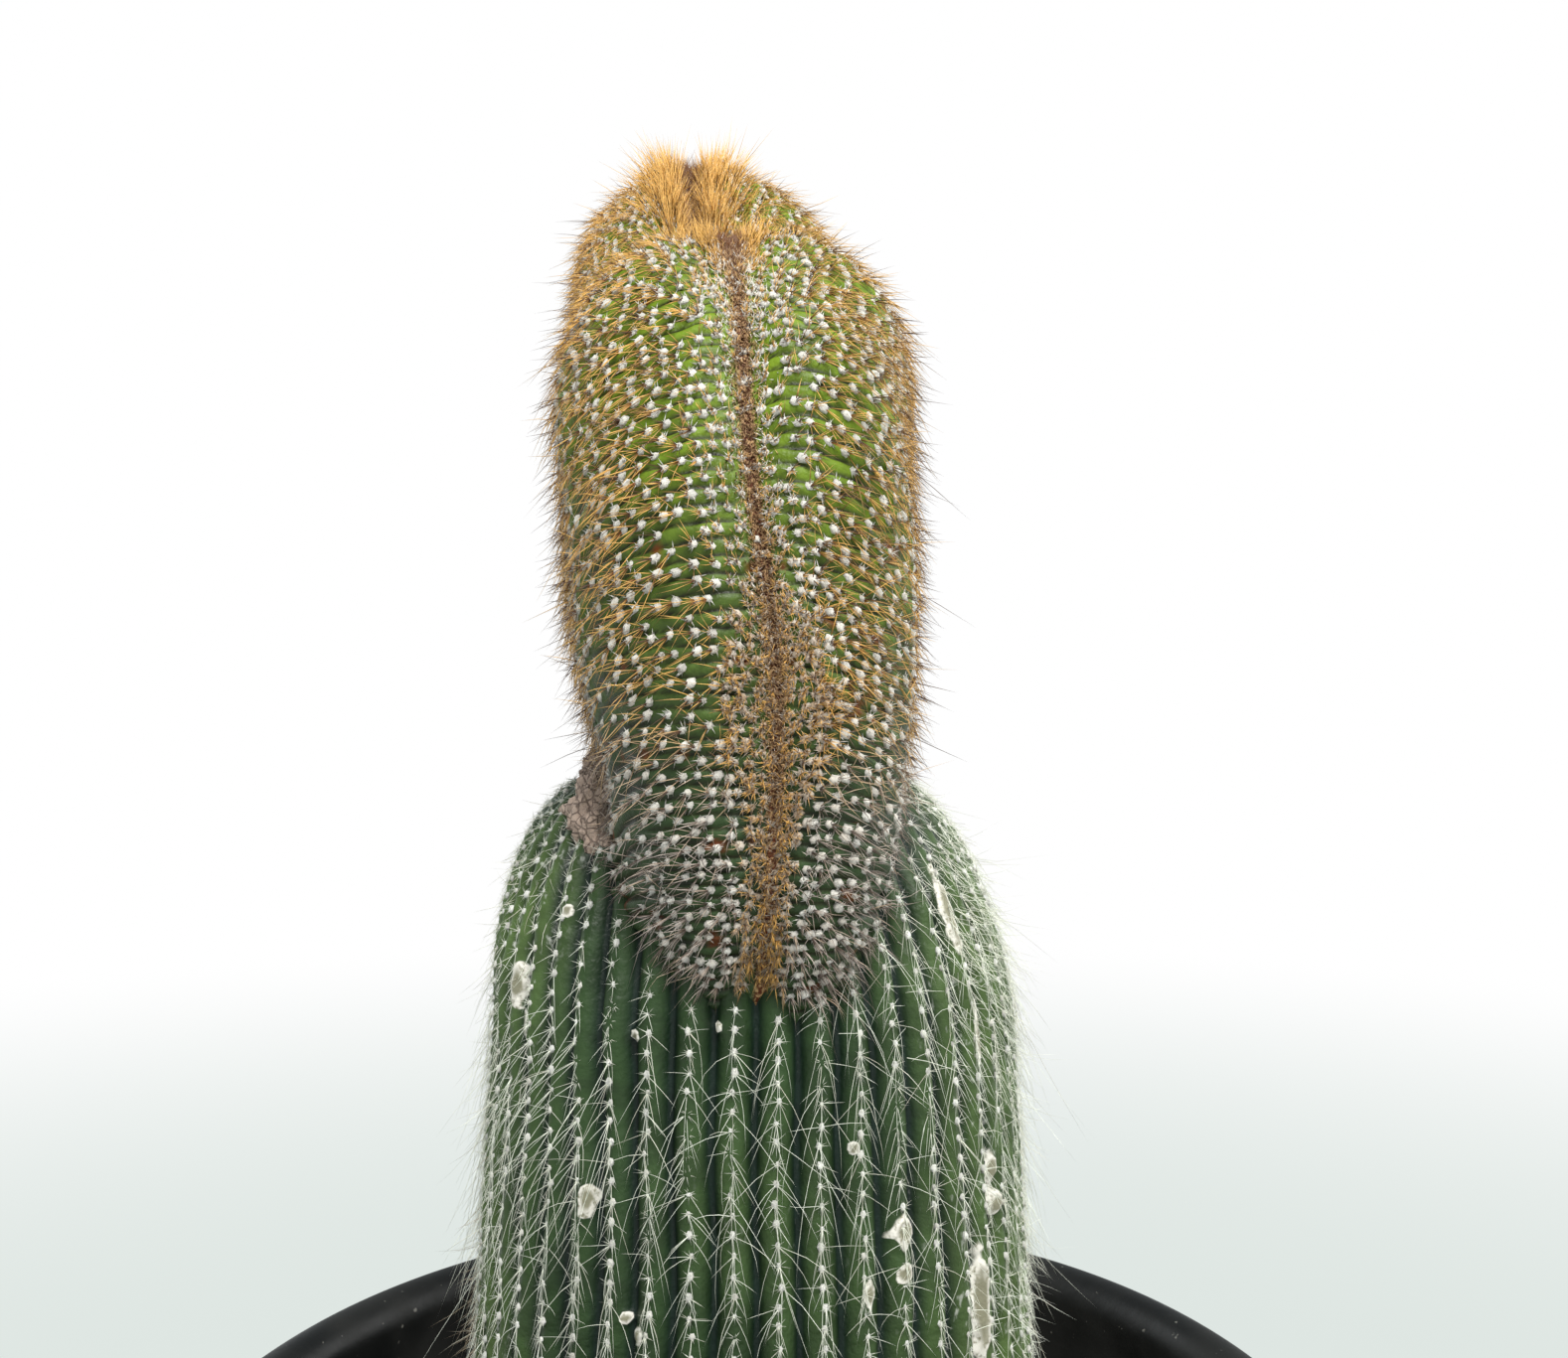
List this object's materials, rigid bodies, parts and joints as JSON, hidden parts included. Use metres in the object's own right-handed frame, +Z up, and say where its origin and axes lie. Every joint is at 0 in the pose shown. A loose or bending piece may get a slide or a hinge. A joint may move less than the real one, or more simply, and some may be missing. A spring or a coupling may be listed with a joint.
{
  "type": "potted tall cactus",
  "caption": "Tall crested cactus: an upright ribbed stem with a spiny fan-shaped crest, growing in potting mix in a round black plastic pot.",
  "frame": {"origin": "centre of the pot's foot, on the surface that it stands on", "axes": "+Z up along the stem; -Y is the front, where the crest's growing line comes down over the stem; +X is to the right seen from the front"},
  "size_m": [0.398, 0.398, 0.7745],
  "materials": {
    "pot_plastic": "satin",
    "potting_mix": "matte",
    "cactus_flesh": "satin"
  },
  "bodies": {
    "root": {"pot": "pot_plastic", "soil": "potting_mix", "cactus": "cactus_flesh"}
  },
  "joints": []
}
